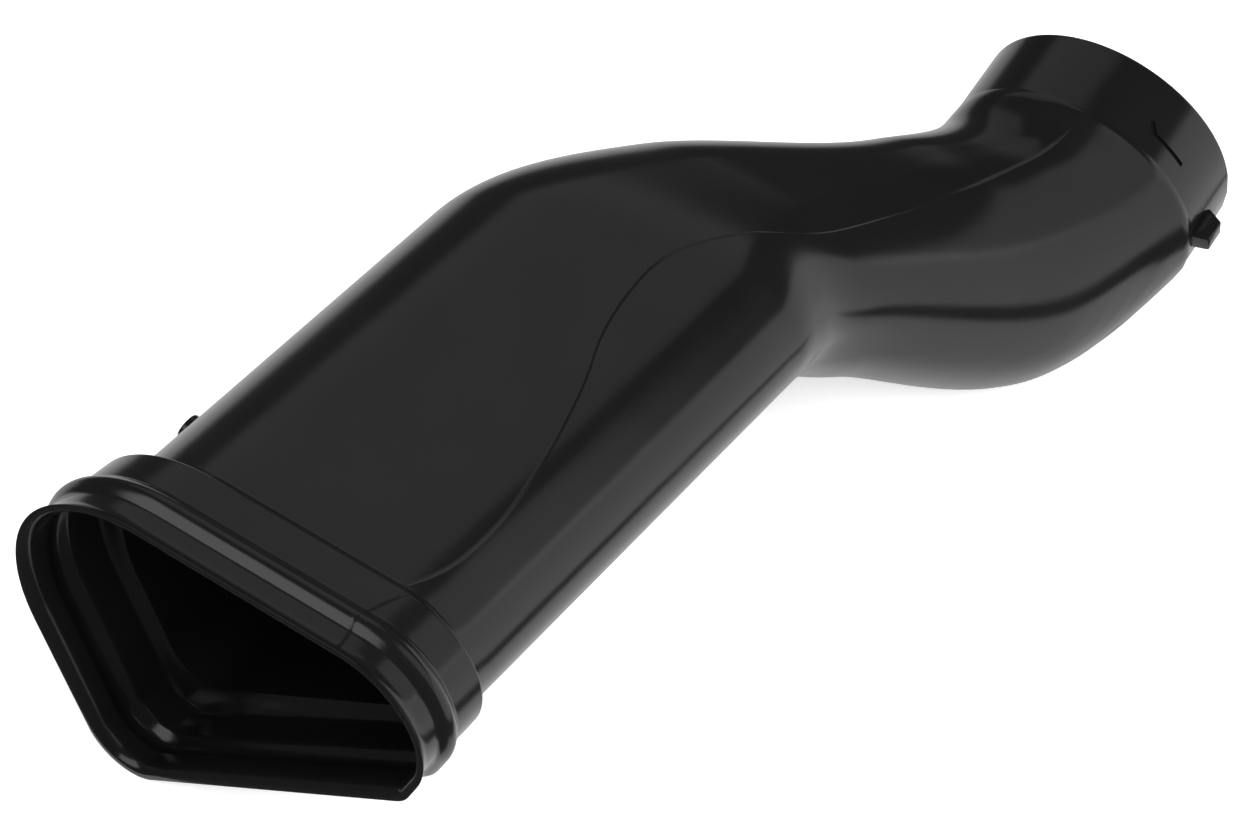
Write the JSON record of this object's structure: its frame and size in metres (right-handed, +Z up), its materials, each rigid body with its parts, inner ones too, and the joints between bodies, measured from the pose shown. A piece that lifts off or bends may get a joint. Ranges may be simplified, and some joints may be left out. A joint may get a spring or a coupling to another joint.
{
  "type": "air duct pipe",
  "caption": "Black moulded plastic air intake duct in one piece, from a wide four-sided mouth collar with a raised bead, through a flat straight run and a side bend, to a round outlet collar.",
  "frame": {"origin": "on the ground, under the middle of the duct's footprint, as the duct lies on its keel and the flat underside of its bulge", "axes": "+X along the straight run, away from the wide mouth; +Y to the left of that, towards the far side; +Z up, square to the flat top"},
  "size_m": [0.3776, 0.21, 0.1278],
  "materials": {
    "plastic": "black moulded plastic with a satin sheen and a faint fine grain"
  },
  "bodies": {
    "root": {"duct": "plastic"}
  },
  "joints": []
}
